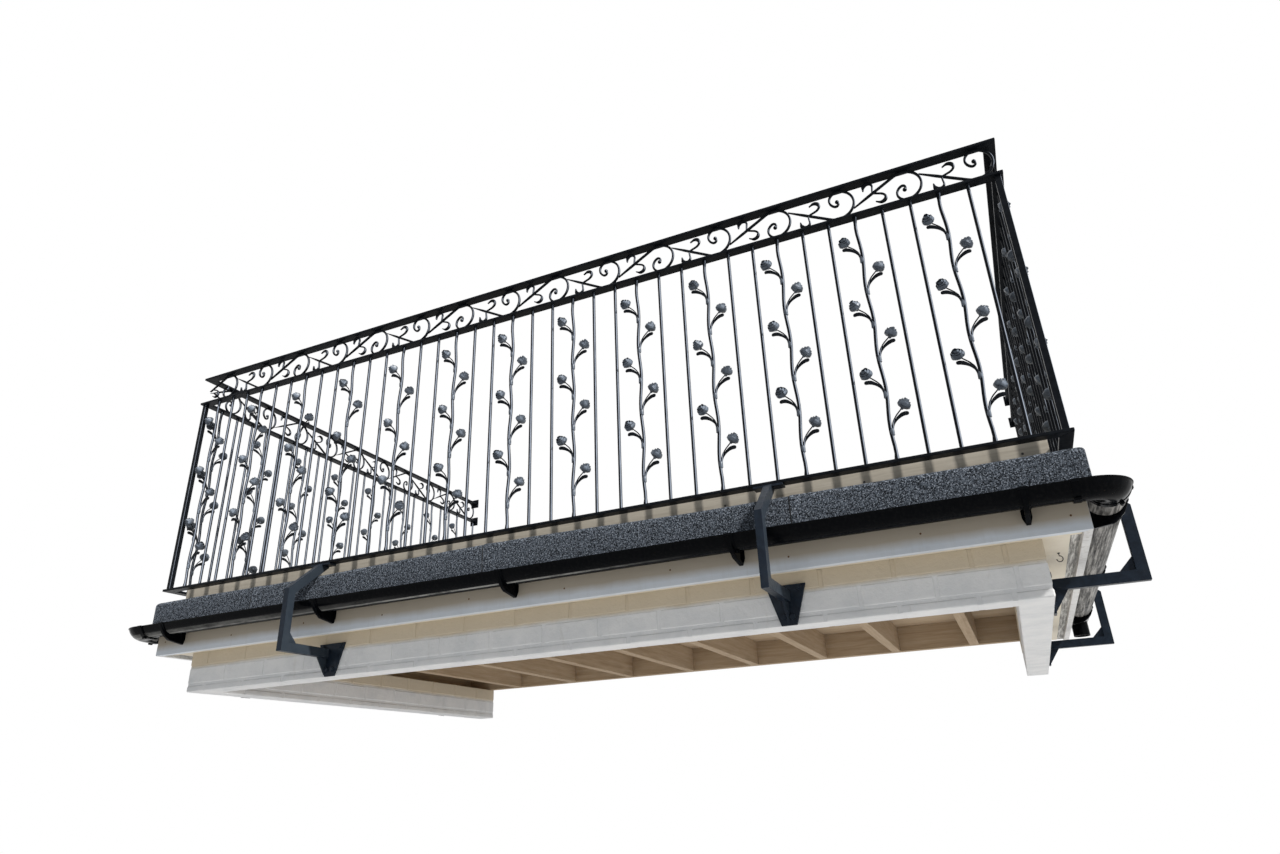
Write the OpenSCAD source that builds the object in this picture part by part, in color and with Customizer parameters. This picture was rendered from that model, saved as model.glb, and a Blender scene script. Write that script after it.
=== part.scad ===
// Wrought iron railed balcony on a flat roof deck, with felted kerb, gutter and cranked brackets.
// X runs along the front, Y toward the house, Z up. The house wall is the plane y = 0.

/* [Railing] */
// Spacing of the upright bars
bar_pitch = 95; // [80:1:110]
// Number of gaps between bars across the front
front_gaps = 39; // [21:3:57]
// Number of gaps between bars along each side
side_gaps = 24; // [12:3:36]
// Distance from the last side bar to the house wall
wall_gap = 20; // [14:1:40]
// Thickness of an upright bar
bar_t = 12; // [10:1:16]
// Height of the railing, from the top of the base rail to the top of the handrail
rail_h = 1075; // [900:5:1150]
// Clear height of the scroll frieze
frieze_h = 127; // [110:1:150]
// Width of the handrail and of the base rail
rail_w = 40; // [32:1:50]
// Thickness of the rails
rail_t = 10; // [8:1:12]
// Width of the middle rail
mid_w = 38; // [25:1:45]
// Size of the square corner posts
post_t = 20; // [16:1:25]
// Size of the plates that hold the railing to the house wall
wall_plate = 60; // [50:1:80]

/* [Scroll frieze] */
// Number of scroll pairs across the front
front_pairs = 8; // [4:1:12]
// Number of scroll pairs along each side
side_pairs = 5; // [3:1:8]
// Thickness of a scroll bar, in the plane of the railing
scroll_t = 9.5; // [7:0.5:11]
// Depth of a scroll bar, across the railing
scroll_d = 10; // [8:1:14]
// Diameter of the ball at the end of a scroll
ball_d = 15; // [12:1:18]
// How much of the first scroll the corner leaves out
scroll_lead = 39; // [30:1:60]
// Gap between the first scroll and the scrolls round the corner
scroll_gap = 12; // [10:1:20]

/* [Rose stems] */
// Every how many bars a rose stem stands
stem_step = 3; // [2:1:5]
// Number of roses on a stem
roses = 6; // [4:1:7]
// Diameter of a rose
rose_d = 38; // [34:1:48]
// Sideways reach of a rose from its stem
rose_x = 50; // [40:1:56]
// Thickness of a stalk and of its leaf
stalk_t = 6; // [4:0.5:8]
// Sideways wave of a stem
stem_wave = 4; // [0:0.5:6]
// Drop from the middle rail to the first rose
first_rose = 94; // [80:1:130]
// Height of the last rose above the base rail
last_rose = 182; // [140:1:200]

/* [Deck] */
// Height of the top of the base rail above the middle of the wall ledger
rail_z = 210; // [190:1:240]
// Clear gap between the base rail and the kerb
kerb_gap = 50; // [40:1:80]
// Height of the kerb face, down to the foot of its skirt
kerb_h = 115; // [70:1:120]
// How far the kerb face stands outside the middle line of the railing
kerb_out = 30; // [25:1:40]
// Width of the kerb
kerb_w = 75; // [60:1:100]
// Radius of the felted kerb edge
kerb_r = 18; // [8:1:20]
// Thickness of the felted skirt that drops toward the gutter
skirt_t = 6; // [4:0.5:8]
// Height of the joists and of the wall ledger
joist_h = 130; // [125:5:200]
// Thickness of a joist, a ledger or a deck bearer
joist_t = 47; // [38:1:50]
// Number of joists
joist_count = 10; // [6:1:14]
// Thickness of the roof boarding
roof_t = 18; // [15:1:25]
// Height of the decking above the top of the base rail
deck_up = 18; // [10:1:30]
// Thickness of the decking
deck_t = 22; // [20:1:30]
// Height of the deck edge boards
edge_h = 96; // [85:1:105]
// Number of deck bearers
bearer_count = 9; // [6:1:12]

/* [Eaves] */
// How far the fascia stands outside the middle line of the railing
fascia_out = 3; // [0:1:10]
// Thickness of the fascia boards
fascia_t = 24; // [16:1:30]
// Drop of the fascia below the soffit
fascia_drop = 10; // [6:1:20]
// Depth of the front soffit, from the fascia to the wall below
soffit_w = 59; // [50:1:120]
// Depth of the side soffits
side_soffit_w = 104; // [50:1:140]
// Thickness of the soffit boards
soffit_t = 9; // [6:1:12]
// Thickness of the wall head below the joists
wall_head_t = 100; // [80:1:140]
// Height of the wall head
wall_head_h = 175; // [150:5:225]

/* [Gutter] */
// Outside width of the half-round gutter
gutter_w = 112; // [100:1:120]
// Depth of the gutter below its rim
gutter_h = 44; // [36:1:50]
// Wall thickness of the gutter and its fittings
gutter_t = 3; // [2:0.5:4]
// Height of the gutter rim above the middle of the wall ledger
gutter_z = 27; // [10:1:32]
// Length of each leg of a corner piece
corner_leg = 155; // [140:5:220]
// Overlap of a gutter and the fitting around it
gutter_lap = 45; // [35:1:60]
// Width of a gutter hanger
hanger_w = 28; // [20:1:36]
// Distance from a gutter fitting to the nearest hanger
hanger_space = 105; // [60:5:200]
// Number of hangers on the front
front_hangers = 5; // [3:1:7]
// Number of hangers on each side
side_hangers = 3; // [2:1:5]
// Outside diameter of the outlet spout
spout_d = 75; // [68:1:82]
// Length of the outlet spout
spout_h = 60; // [40:5:90]

/* [Cranked brackets] */
// Width of a bracket bar
crank_w = 25; // [20:1:40]
// Depth of a bracket bar
crank_d = 35; // [30:1:40]
// Distance from a front bracket's outer face to the middle line of the railing
crank_out = 172; // [160:1:200]
// Distance from a side bracket's outer face to the middle line of the railing
crank_side = 162; // [160:1:200]
// Drop from the top of the base rail to the elbow
elbow_drop = 138; // [120:1:150]
// Drop from the top of the base rail to the underside of the arm
arm_drop = 377; // [350:1:420]
// Thickness of the bracket plates
plate_t = 8; // [6:1:12]
// Width of the wall plate at its top
plate_top = 130; // [100:5:160]
// Width of the wall plate at its foot
plate_foot = 50; // [40:5:80]
// Height of the wall plate
plate_h = 128; // [110:1:160]
// Place of the left front bracket, from the middle of the front
crank_left = -938; // [-1200:1:-600]
// How far the wall plate of the left front bracket stands to the right of its arm
plate_shift = 26; // [0:1:40]
// Place of the right front bracket, from the middle of the front
crank_right = 965; // [600:1:1200]
// Place of the first side bracket, from the front railing
crank_near = 400; // [250:5:600]
// Place of the second side bracket, from the front railing
crank_far = 1885; // [1000:5:1950]

/* [Clearances] */
// Gap between a gutter and the fitting around it
gutter_play = 0.5; // [0.3:0.1:1]
// Gap between the fascia and the gutter rim
rim_gap = 5; // [4:0.5:10]
// Gap between the kerb and the deck edge boards
edge_gap = 5; // [3:1:10]

/* [Hidden] */
front_w = bar_pitch * front_gaps;
half_w = front_w / 2;
side_w = bar_pitch * side_gaps + wall_gap;
front_y = -side_w;
top_z = rail_z + rail_h;
mid_z = top_z - rail_t - frieze_h;
bar_h = mid_z - rail_t - rail_z;
kerb_z = rail_z - rail_t - kerb_gap;
joist_z = joist_h / 2;
roof_z = joist_z + roof_t;
deck_z = rail_z + deck_up;
fascia_in = fascia_t - fascia_out;
wall_face = fascia_in + soffit_w;
side_face = fascia_in + side_soffit_w;
gr = gutter_w / 2;
trough_r = (gr * gr + gutter_h * gutter_h) / (2 * gutter_h);
trough_up = trough_r - gutter_h;
fit_r = trough_r + gutter_play;
gutter_o = -fascia_out - rim_gap - gr;
pivot = gutter_o + sqrt(pow(fit_r + gutter_t, 2) - trough_up * trough_up);
corner_o = gutter_o - gr;
outlet_x = side_w - 170;
hanger_end = corner_o + corner_leg + hanger_space + hanger_w / 2;
deck_in = kerb_w - kerb_out + edge_gap;
reach = 260;
rose_pitch = (bar_h - first_rose - last_rose) / (roses - 1);
stem_steps = 36;
iron = [0.06, 0.065, 0.07];
slate = [0.13, 0.16, 0.19];
felt = [0.22, 0.23, 0.25];
beige = [0.62, 0.57, 0.48];
cream = [0.86, 0.83, 0.75];
white = [0.88, 0.88, 0.87];
timber = [0.58, 0.46, 0.33];
black = [0.03, 0.03, 0.035];

// A point of a path that is made of arcs: each arc is [radius, turn], and a radius of 0 is a straight
function arc_steps(turn) = max(2, ceil(abs(turn) / 15));
function walk(p, a, arcs, i = 0) = i >= len(arcs) ? [[p[0], p[1], a]] :
    arcs[i][0] == 0 ?
    concat([[p[0], p[1], a]],
        walk([p[0] + arcs[i][1] * cos(a), p[1] + arcs[i][1] * sin(a)], a, arcs, i + 1)) :
    let (r = arcs[i][0], t = arcs[i][1], q = t > 0 ? r : -r, c = [p[0] - q * sin(a), p[1] + q * cos(a)],
        n = arc_steps(t), at = [for (k = [0:n - 1]) a + t * k / n])
    concat([for (b = at) [c[0] + q * sin(b), c[1] - q * cos(b), b]],
        walk([c[0] + q * sin(a + t), c[1] - q * cos(a + t)], a + t, arcs, i + 1));

// The outline of a bar along a path, with its thickness going from t0 to t1 and a scarfed start of ts
function side_of(path, t0, t1, ts, s) = [for (i = [0:len(path) - 1])
    let (t = i == 0 ? ts : t0 + (t1 - t0) * i / (len(path) - 1), a = path[i][2])
    [path[i][0] - s * t / 2 * sin(a), path[i][1] + s * t / 2 * cos(a)]];
function ribbon(path, t0, t1, ts = 6) =
    concat(side_of(path, t0, t1, ts, 1), back(side_of(path, t0, t1, ts, -1)));
function fit(path, g, k) = [for (p = path) [p[0] * g, p[1] * k, p[2]]];
function back(v) = [for (i = [len(v) - 1:-1:0]) v[i]];

// Turns a flat outline in X and Z into a plate that is centred on the plane of the railing
module upright(d) {
    rotate([90, 0, 0])
    translate([0, 0, -d / 2])
    linear_extrude(d)
    children();
}

// Sets a piece on a run of the balcony: it is drawn along +X from a front corner, with its outside at -Y
module on_front() {
    translate([-half_w, front_y, 0])
    children();
}

module on_side(s) {
    if (s > 0)
    translate([half_w, front_y, 0])
    rotate([0, 0, 90])
    children();
    else
    translate([-half_w, front_y, 0])
    mirror([1, 0, 0])
    rotate([0, 0, 90])
    children();
}

// Extrudes a profile of distance in and height along a run, and mitres it at the front corners
module front_run() {
    intersection() {
        translate([-reach, 0, 0])
        rotate([90, 0, 90])
        linear_extrude(front_w + 2 * reach)
        children();
        translate([0, 0, -1000])
        linear_extrude(2000)
        polygon([[-reach, -reach], [front_w + reach, -reach], [front_w - reach, reach], [reach, reach]]);
    }
}

module side_run() {
    intersection() {
        translate([-reach, 0, 0])
        rotate([90, 0, 90])
        linear_extrude(side_w + reach)
        children();
        translate([0, 0, -1000])
        linear_extrude(2000)
        polygon([[-reach, -reach], [side_w, -reach], [side_w, reach], [reach, reach]]);
    }
}

// A plain length of a profile along a run
module length_of(x0, x1) {
    translate([x0, 0, 0])
    rotate([90, 0, 90])
    linear_extrude(x1 - x0)
    children();
}

// Timber structure
module wall_ledger() {
    color(timber)
    translate([-half_w + fascia_in, -joist_t, -joist_z])
    cube([2 * (half_w - fascia_in), joist_t, joist_h]);
}

module joists() {
    pitch = (2 * (half_w - fascia_in) - joist_t) / (joist_count - 1);
    color(timber)
    for (i = [0:joist_count - 1])
    translate([-half_w + fascia_in + i * pitch, front_y + fascia_in, -joist_z])
    cube([joist_t, side_w - fascia_in - joist_t, joist_h]);
}

module roof_boarding() {
    color(timber)
    translate([-half_w - fascia_out, front_y - fascia_out, joist_z])
    cube([2 * (half_w + fascia_out), side_w + fascia_out, roof_t]);
}

module deck_bearers() {
    in = deck_in + deck_t;
    pitch = (2 * (half_w - in) - joist_t) / (bearer_count - 1);
    color(timber)
    for (i = [0:bearer_count - 1])
    translate([-half_w + in + i * pitch, front_y + in, roof_z])
    cube([joist_t, side_w - in, deck_z - deck_t - roof_z]);
}

module decking() {
    in = deck_in + deck_t;
    color(beige)
    translate([-half_w + in, front_y + in, deck_z - deck_t])
    cube([2 * (half_w - in), side_w - in, deck_t]);
}

module edge_profile() {
    translate([deck_in, deck_z - edge_h])
    square([deck_t, edge_h]);
}

module front_edge_board() {
    color(beige)
    on_front()
    front_run()
    edge_profile();
}

module left_edge_board() {
    color(beige)
    on_side(-1)
    side_run()
    edge_profile();
}

module right_edge_board() {
    color(beige)
    on_side(1)
    side_run()
    edge_profile();
}

// Felted kerb, with a rounded outer edge and a skirt that drops toward the gutter
module kerb_profile() {
    k = kerb_w - kerb_out;
    o = -kerb_out;
    arc = [for (a = [180:-15:90]) [o + kerb_r + kerb_r * cos(a), kerb_z - kerb_r + kerb_r * sin(a)]];
    polygon(concat([[o, kerb_z - kerb_h]], arc, [[k, kerb_z], [k, roof_z], [o + skirt_t, roof_z],
        [o + skirt_t, kerb_z - kerb_h]]));
}

module front_kerb() {
    color(felt)
    on_front()
    front_run()
    kerb_profile();
}

module left_kerb() {
    color(felt)
    on_side(-1)
    side_run()
    kerb_profile();
}

module right_kerb() {
    color(felt)
    on_side(1)
    side_run()
    kerb_profile();
}

// Eaves boards
module fascia_profile() {
    foot = -joist_z - soffit_t - fascia_drop;
    translate([-fascia_out, foot])
    square([fascia_t, joist_z - foot]);
}

module front_fascia() {
    color(white)
    on_front()
    front_run()
    fascia_profile();
}

module left_fascia() {
    color(white)
    on_side(-1)
    side_run()
    fascia_profile();
}

module right_fascia() {
    color(white)
    on_side(1)
    side_run()
    fascia_profile();
}

module soffit_boards() {
    color(cream) {
        on_front()
        length_of(fascia_in, front_w - fascia_in)
        soffit_profile(soffit_w);
        for (s = [-1, 1])
        on_side(s)
        length_of(wall_face, side_w)
        soffit_profile(side_soffit_w);
    }
}

module soffit_profile(w) {
    translate([fascia_in, -joist_z - soffit_t])
    square([w, soffit_t]);
}

// Head of the masonry wall below, which carries the joists and the bracket plates
module wall_head() {
    color(white) {
        on_front()
        length_of(side_face, front_w - side_face)
        wall_head_profile(wall_face);
        for (s = [-1, 1])
        on_side(s)
        length_of(wall_face + wall_head_t, side_w)
        wall_head_profile(side_face);
    }
}

module wall_head_profile(face) {
    translate([face, -joist_z - wall_head_h])
    square([wall_head_t, wall_head_h]);
}

// The wall of a trough of radius r inside and thickness t, below the gutter's rim
module trough_wall(r, t) {
    translate([gutter_o, gutter_z + trough_up])
    difference() {
        circle(r + t, $fn = 64);
        circle(r, $fn = 64);
        translate([-2 * (r + t), -trough_up])
        square(4 * (r + t));
    }
}

module gutter_profile() {
    trough_wall(trough_r - gutter_t, gutter_t);
}

module front_gutter() {
    e = corner_o + corner_leg - gutter_lap;
    color(black)
    on_front()
    length_of(e, front_w - e)
    gutter_profile();
}

module side_gutter(x1) {
    length_of(corner_o + corner_leg - gutter_lap, x1)
    gutter_profile();
}

module left_gutter() {
    color(black)
    on_side(-1)
    side_gutter(side_w - gutter_play - gutter_t);
}

module right_gutter() {
    color(black)
    on_side(1)
    side_gutter(outlet_x + gutter_lap);
}

// A corner piece: two straight legs and a quarter turn about the fascia's corner
module corner_piece() {
    leg();
    mirror([1, -1, 0])
    leg();
    translate([pivot, pivot, 0])
    rotate([0, 0, 180])
    rotate_extrude(angle = 90, $fn = 96)
    intersection() {
        mirror([1, 0])
        translate([-pivot, 0])
        trough_wall(fit_r, gutter_t);
        translate([0, -reach])
        square(2 * reach);
    }
}

module leg() {
    length_of(pivot, corner_o + corner_leg)
    trough_wall(fit_r, gutter_t);
}

module gutter_corners() {
    color(black)
    for (s = [-1, 1])
    on_side(s)
    corner_piece();
}

// A hanger: a strap under the gutter, a web and a tongue-shaped plate on the fascia
module hanger() {
    tip = gutter_z - gutter_h - 33;
    up = gutter_z + trough_up;
    length_of(-hanger_w / 2, hanger_w / 2)
    trough_wall(fit_r, gutter_t);
    length_of(-gutter_t, gutter_t)
    polygon([[gutter_o + fit_r * cos(60) + 2, up - fit_r * sin(60) - 1], [-fascia_out - 2, tip + 4],
        [-fascia_out - 2, gutter_z - 30], [gutter_o + fit_r * cos(30) + 1, up - fit_r * sin(30) - 1]]);
    translate([0, -fascia_out, 0])
    rotate([90, 0, 0])
    linear_extrude(4)
    polygon([[-hanger_w / 2, gutter_z], [-hanger_w / 2, tip + 22], [-6, tip], [6, tip],
        [hanger_w / 2, tip + 22], [hanger_w / 2, gutter_z]]);
}

module hanger_row(last, count) {
    for (i = [0:count - 1])
    translate([hanger_end + (last - hanger_end) * i / (count - 1), 0, 0])
    hanger();
}

module gutter_hangers() {
    color(black) {
        on_front()
        hanger_row(front_w - hanger_end, front_hangers);
        for (s = [-1, 1])
        on_side(s)
        hanger_row(outlet_x - hanger_space - hanger_w / 2, side_hangers);
    }
}

// Outlet at the house end of the right gutter, with an open spout below
module gutter_outlet() {
    mid = side_w - 75;
    foot = gutter_z - gutter_h - spout_h;
    color(black)
    on_side(1)
    difference() {
        union() {
            length_of(outlet_x, side_w - 20)
            trough_wall(fit_r, gutter_t);
            length_of(side_w - 20 - gutter_t, side_w - 20)
            trough_wall(0.01, fit_r + gutter_t);
            intersection() {
                translate([mid, gutter_o, foot])
                cylinder(d = spout_d, h = spout_h + gr, $fn = 48);
                length_of(outlet_x, side_w)
                difference() {
                    translate([gutter_o - gr, foot])
                    square([2 * gr, gutter_z - foot]);
                    translate([gutter_o, gutter_z + trough_up])
                    circle(fit_r, $fn = 64);
                }
            }
        }
        translate([mid, gutter_o, foot - 1])
        cylinder(d = spout_d - 2 * gutter_t, h = spout_h + gr, $fn = 48);
    }
}

// Stop end at the house end of the left gutter
module gutter_stop_end() {
    color(black)
    on_side(-1) {
        length_of(side_w - gutter_lap, side_w)
        trough_wall(fit_r, gutter_t);
        length_of(side_w - gutter_t, side_w)
        trough_wall(0.01, fit_r + gutter_t);
    }
}

// A flat rail along X, mitred at the front corners and square at the house
module flat_rail(length, w, z, square_end) {
    e = square_end ? 0 : w / 2;
    translate([0, 0, z - rail_t])
    linear_extrude(rail_t)
    polygon([[-w / 2, -w / 2], [length + e, -w / 2], [length - e, w / 2], [w / 2, w / 2]]);
}

module front_rail(w, z) {
    color(iron)
    on_front()
    flat_rail(front_w, w, z, false);
}

module side_rail(s, w, z) {
    color(iron)
    on_side(s)
    flat_rail(side_w - plate_t, w, z, true);
}

module front_top_rail() {
    front_rail(rail_w, top_z);
}

module left_top_rail() {
    side_rail(-1, rail_w, top_z);
}

module right_top_rail() {
    side_rail(1, rail_w, top_z);
}

module front_mid_rail() {
    front_rail(mid_w, mid_z);
}

module left_mid_rail() {
    side_rail(-1, mid_w, mid_z);
}

module right_mid_rail() {
    side_rail(1, mid_w, mid_z);
}

module front_base_rail() {
    front_rail(rail_w, rail_z);
}

module left_base_rail() {
    side_rail(-1, rail_w, rail_z);
}

module right_base_rail() {
    side_rail(1, rail_w, rail_z);
}

module corner_posts() {
    color(iron)
    for (s = [-1, 1])
    on_side(s)
    translate([-post_t / 2, -post_t / 2, rail_z])
    cube([post_t, post_t, bar_h]);
}

// Plates that bolt the ends of the rails to the house wall
module wall_plates() {
    color(iron)
    for (s = [-1, 1])
    on_side(s)
    for (z = [rail_z, mid_z, top_z])
    translate([side_w - plate_t, -wall_plate / 2, z - rail_t / 2 - wall_plate / 2])
    cube([plate_t, wall_plate, wall_plate]);
}

// Upright bars
function is_stem(i) = i % stem_step == 1;

module bars_along(last) {
    for (i = [1:last])
    if (!is_stem(i))
    translate([i * bar_pitch, 0, rail_z])
    cylinder(d = bar_t, h = bar_h, $fn = 32);
}

module front_bars() {
    color(iron)
    on_front()
    bars_along(front_gaps - 1);
}

module side_bars() {
    color(iron)
    for (s = [-1, 1])
    on_side(s)
    bars_along(side_gaps);
}

// One rose stem, drawn in X and Z with its foot at the origin
function rose_at(k) = bar_h - first_rose - k * rose_pitch;
function ease(z) = min(1, z / 60, (bar_h - z) / 60);
function wave(z) = stem_wave * ease(z) * sin((rose_at(0) - z) / rose_pitch * 180);
function stem_edge(s) = [for (i = [0:stem_steps])
    let (z = bar_h * i / stem_steps)
    [wave(z) + s * bar_t / 2, z]];

module rose_stem() {
    upright(bar_t)
    polygon(concat(stem_edge(-1), back(stem_edge(1))));
    for (k = [0:roses - 1])
    translate([0, 0, rose_at(k)])
    mirror([1 - k % 2, 0, 0]) {
        upright(stalk_t)
        polygon([[-3, -104], [4, -104], [8, -82], [13, -65], [21, -52], [34, -41], [48, -35], [62, -31],
            [52, -26], [40, -27], [28, -34], [17, -43], [25, -31], [rose_x - 7, -12], [rose_x - 11, -8],
            [21, -28], [13, -39], [6, -52], [2, -68], [-2, -90]]);
        translate([rose_x, bar_t / 2, 0])
        rotate([90, 0, 0])
        cylinder(d = rose_d, h = bar_t, $fn = 32);
    }
}

module stems_along(last) {
    for (i = [1:last])
    if (is_stem(i))
    translate([i * bar_pitch, 0, rail_z])
    rose_stem();
}

module front_rose_stems() {
    color(iron)
    on_front()
    stems_along(front_gaps - 1);
}

module left_rose_stems() {
    color(iron)
    on_side(-1)
    stems_along(side_gaps);
}

module right_rose_stems() {
    color(iron)
    on_side(1)
    stems_along(side_gaps);
}

// One scroll: the loop's far side is at the origin, and its scarfed end lies on the loop before it
module scroll(cell, first) {
    k = frieze_h / 127;
    g = cell / 234;
    from = first ? [scroll_gap + scroll_lead - 234, 34.2 + (scroll_gap + scroll_lead) * 0.561] : [-237, 31.9];
    run = (-88.9 - from[0]) / cos(29.3) - 8;
    main = fit(walk(from, 29.3, [[0, 8], [0, run], [59.7, -29.3], [59.7, -90], [59.7, -75], [32.6, -165],
        [10, -160], [0, 3]]), g, k);
    end = main[len(main) - 1];
    curl = walk([-165, 71], -20, [[0, 26], [30, -30], [17, -90]]);
    bend = curl[len(curl) - 1];
    tip = walk([bend[0], bend[1]], bend[2], [[17, -70], [0, 10]]);
    upright(scroll_d)
    polygon(ribbon(main, scroll_t, scroll_t * 0.8, 1.5));
    upright(scroll_d)
    polygon(ribbon(fit(curl, g, k), 6, 9));
    upright(scroll_d)
    polygon(ribbon(fit(tip, g, k), 9, 3, 9));
    if (!first)
    upright(scroll_d)
    polygon(ribbon(fit(walk([-167, 76], 83, [[0, 24], [16, 180], [0, 11]]), g, k), 7, 3.5));
    translate([end[0], scroll_d / 2, end[1]])
    rotate([90, 0, 0])
    cylinder(d = ball_d, h = scroll_d, $fn = 24);
}

// A run of scrolls from a corner, every other one turned over
module scrolls(length, pairs) {
    cell = (length + scroll_lead) / pairs / 2;
    for (i = [0:2 * pairs - 1])
    translate([(i + 1) * cell - scroll_lead, 0, mid_z + i % 2 * frieze_h])
    mirror([0, 0, i % 2])
    scroll(cell, i == 0);
}

module front_scrolls() {
    color(iron)
    on_front()
    scrolls(front_w, front_pairs);
}

module left_scrolls() {
    color(iron)
    on_side(-1)
    scrolls(side_w - wall_gap, side_pairs);
}

module right_scrolls() {
    color(iron)
    on_side(1)
    scrolls(side_w - wall_gap, side_pairs);
}

// One cranked bracket at the origin of a run, from under the base rail to the wall below
module bracket(out, face, shift = 0) {
    under = rail_z - rail_t;
    half_r = rail_w / 2;
    elbow = rail_z - elbow_drop;
    foot = rail_z - arm_drop;
    lean = atan2(under - elbow, out - half_r);
    deep = crank_d / cos(lean);
    in = -out + crank_d;
    arm_end = face - plate_t;
    length_of(-crank_w / 2, crank_w / 2)
    polygon([[-half_r, under], [-half_r, under - plate_t], [half_r, under - plate_t],
        [half_r, under + rail_w * tan(lean) - deep], [in, elbow - crank_d * tan((90 - lean) / 2)],
        [in, foot + crank_d], [arm_end, foot + crank_d], [arm_end, foot], [-out, foot], [-out, elbow]]);
    translate([-50, -half_r, under - plate_t])
    cube([100, rail_w, plate_t]);
    length_of(-plate_t / 2, plate_t / 2)
    polygon([[in - 1, foot + crank_d - 1], [in + 45, foot + crank_d - 1], [in + 45, foot + crank_d],
        [in, foot + crank_d + 45], [in - 1, foot + crank_d + 45]]);
    length_of(-plate_t / 2, plate_t / 2)
    polygon([[arm_end, foot + 1], [arm_end - 48, foot + 1], [arm_end - 48, foot], [arm_end, foot - 66]]);
    translate([shift, face, foot + 55])
    rotate([90, 0, 0])
    linear_extrude(plate_t)
    polygon([[-plate_top / 2, 0], [plate_top / 2, 0], [plate_foot / 2, -plate_h],
        [-plate_foot / 2, -plate_h]]);
}

module front_brackets() {
    color(slate)
    on_front() {
        translate([half_w + crank_left, 0, 0])
        bracket(crank_out, wall_face, plate_shift);
        translate([half_w + crank_right, 0, 0])
        bracket(crank_out, wall_face);
    }
}

module side_brackets(s) {
    color(slate)
    on_side(s)
    for (x = [crank_near, crank_far])
    translate([x, 0, 0])
    bracket(crank_side, side_face);
}

module left_brackets() {
    side_brackets(-1);
}

module right_brackets() {
    side_brackets(1);
}

wall_ledger();
joists();
roof_boarding();
deck_bearers();
decking();
front_edge_board();
left_edge_board();
right_edge_board();
front_kerb();
left_kerb();
right_kerb();
front_fascia();
left_fascia();
right_fascia();
soffit_boards();
wall_head();
front_gutter();
left_gutter();
right_gutter();
gutter_corners();
gutter_hangers();
gutter_outlet();
gutter_stop_end();
front_top_rail();
left_top_rail();
right_top_rail();
front_mid_rail();
left_mid_rail();
right_mid_rail();
front_base_rail();
left_base_rail();
right_base_rail();
corner_posts();
wall_plates();
front_bars();
side_bars();
front_rose_stems();
left_rose_stems();
right_rose_stems();
front_scrolls();
left_scrolls();
right_scrolls();
front_brackets();
left_brackets();
right_brackets();
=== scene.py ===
"""Looks of the wrought iron railed balcony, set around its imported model. Metres, in the model's frame."""
import math
import random

import bmesh
import bpy
import numpy as np
from mathutils import Matrix, Vector

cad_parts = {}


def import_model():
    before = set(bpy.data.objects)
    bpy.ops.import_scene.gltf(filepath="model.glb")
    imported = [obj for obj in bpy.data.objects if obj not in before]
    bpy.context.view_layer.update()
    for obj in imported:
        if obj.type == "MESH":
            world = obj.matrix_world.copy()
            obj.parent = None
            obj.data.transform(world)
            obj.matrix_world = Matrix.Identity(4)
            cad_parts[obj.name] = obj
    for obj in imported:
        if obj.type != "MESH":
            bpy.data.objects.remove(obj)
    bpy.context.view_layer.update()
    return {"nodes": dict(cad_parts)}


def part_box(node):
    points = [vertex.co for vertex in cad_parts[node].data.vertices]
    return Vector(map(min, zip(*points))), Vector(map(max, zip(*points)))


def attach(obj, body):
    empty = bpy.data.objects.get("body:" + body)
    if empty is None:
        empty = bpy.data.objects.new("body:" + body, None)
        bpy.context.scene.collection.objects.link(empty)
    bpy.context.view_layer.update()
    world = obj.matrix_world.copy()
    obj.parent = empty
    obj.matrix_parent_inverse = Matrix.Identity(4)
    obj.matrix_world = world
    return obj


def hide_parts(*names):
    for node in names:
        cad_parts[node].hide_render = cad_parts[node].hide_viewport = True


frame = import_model()
rng = random.Random(7)
scene = bpy.context.scene
MM = 0.001

# Sizes read from the frame
bars_low, bars_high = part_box("front_bars")
side_low, side_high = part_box("side_bars")
bar_t = bars_high.y - bars_low.y
front_y = (bars_low.y + bars_high.y) / 2
half_w = (side_high.x - side_low.x - bar_t) / 2
rail_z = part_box("front_base_rail")[1].z
mid_low, mid_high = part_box("front_mid_rail")
mid_z = mid_high.z
rail_t = mid_high.z - mid_low.z
frieze_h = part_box("front_top_rail")[0].z - mid_z
bar_h = mid_low.z - rail_z
gutter_low, gutter_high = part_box("front_gutter")
rim_z = gutter_high.z
gutter_half = (gutter_high.y - gutter_low.y) / 2
gutter_in = (gutter_low.y + gutter_high.y) / 2 - front_y
gutter_h = rim_z - gutter_low.z
trough_r = (gutter_half ** 2 + gutter_h ** 2) / (2 * gutter_h)
trough_z = rim_z + trough_r - gutter_h
corner_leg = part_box("gutter_corners")[1].y - front_y
fitting_r = trough_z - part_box("gutter_corners")[0].z
fitting_half = math.sqrt(fitting_r ** 2 - (trough_z - rim_z) ** 2)
kerb_low, kerb_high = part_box("front_kerb")
fascia_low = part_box("front_fascia")[0]
soffit_low, soffit_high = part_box("soffit_boards")
wall_low, wall_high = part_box("wall_head")
deck_low, deck_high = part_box("decking")

# Layout of the railing, as in the part's source
bar_pitch = 95 * MM
front_gaps, side_gaps = round(2 * half_w / bar_pitch), 24
stem_step = 3
front_pairs, side_pairs = 8, 5
SIDES = ("front", "left", "right")

# Sizes of the ironwork in millimetres, as in the part's source
wall_gap = 20
scroll_t, scroll_d, ball_d = 9.5, 10, 15
scroll_lead, scroll_gap = 39, 12
roses, rose_d, rose_x = 6, 38, 50
stem_wave = 4
first_rose, last_rose = 94, 182

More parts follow.
